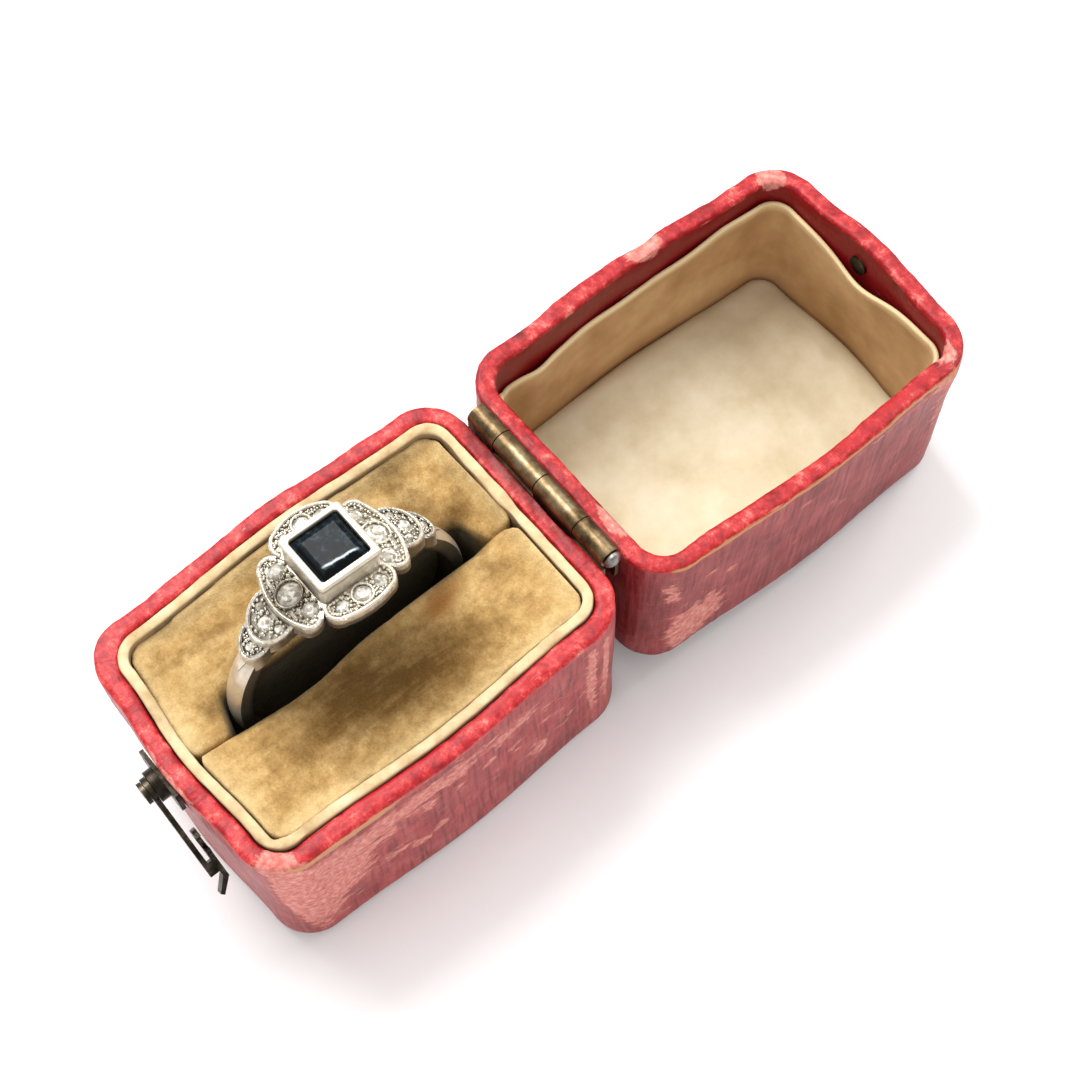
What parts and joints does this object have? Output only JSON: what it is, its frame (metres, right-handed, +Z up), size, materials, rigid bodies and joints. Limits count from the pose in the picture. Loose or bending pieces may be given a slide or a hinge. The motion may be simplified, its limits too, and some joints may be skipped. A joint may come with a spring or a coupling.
{
  "type": "sapphire ring in a ring box",
  "caption": "Square sapphire and diamond cluster ring standing in the velvet slot of a small leather ring box with a hinged lid and a hook clasp.",
  "frame": {"origin": "middle of the underside of the base, on the surface that the box stands on", "axes": "+X across the finger and along the hinge, +Y from the clasp to the hinge and the open lid, +Z up"},
  "size_m": [0.022, 0.0642, 0.0257],
  "materials": {
    "red_leather": "glazed crimson leather, worn to salmon at edges",
    "cream_cloth": "cream rolled silk border, aged",
    "velvet": "olive-beige velvet, stained",
    "cream_card": "paper-covered card strip",
    "cream_satin": "plain cream satin pad",
    "bronze": "darkened brass",
    "steel": "worn steel pin",
    "platinum": "polished platinum, tarnished in the recesses",
    "sapphire": "dark blue step-cut sapphire",
    "diamond": "old-cut diamond"
  },
  "bodies": {
    "base": {"base_case": "red_leather", "insert_border": "cream_cloth", "rear_pad": "velvet", "front_pad": "velvet", "hinge_base_leaf": "bronze", "hinge_pin": "steel", "hook_plate": "bronze", "ring": "platinum", "sapphire": "sapphire", "diamond_01": "diamond", "diamond_02": "diamond", "diamond_03": "diamond", "diamond_04": "diamond", "diamond_05": "diamond", "diamond_06": "diamond", "diamond_07": "diamond", "diamond_08": "diamond", "diamond_09": "diamond", "diamond_10": "diamond", "diamond_11": "diamond", "diamond_12": "diamond", "diamond_13": "diamond", "diamond_14": "diamond", "diamond_15": "diamond", "diamond_16": "diamond", "diamond_17": "diamond", "diamond_18": "diamond", "diamond_19": "diamond", "diamond_20": "diamond"},
    "lid": {"lid_case": "red_leather", "lid_liner": "cream_card", "lid_pad": "cream_satin", "hinge_lid_leaf": "bronze", "catch_stud": "bronze"},
    "hook": {"hook_lever": "bronze"}
  },
  "joints": [
    {"name": "lid_hinge", "type": "hinge", "parent": "base", "child": "lid", "pos_m": [0, 0.01565, 0.01675], "axis": [1, 0, 0], "range_deg": [0, 184.1]},
    {"name": "hook_pivot", "type": "hinge", "parent": "base", "child": "hook", "pos_m": [-0.0004, -0.0163, 0.0147], "axis": [0, -1, 0], "range_deg": [-55, 125]}
  ]
}
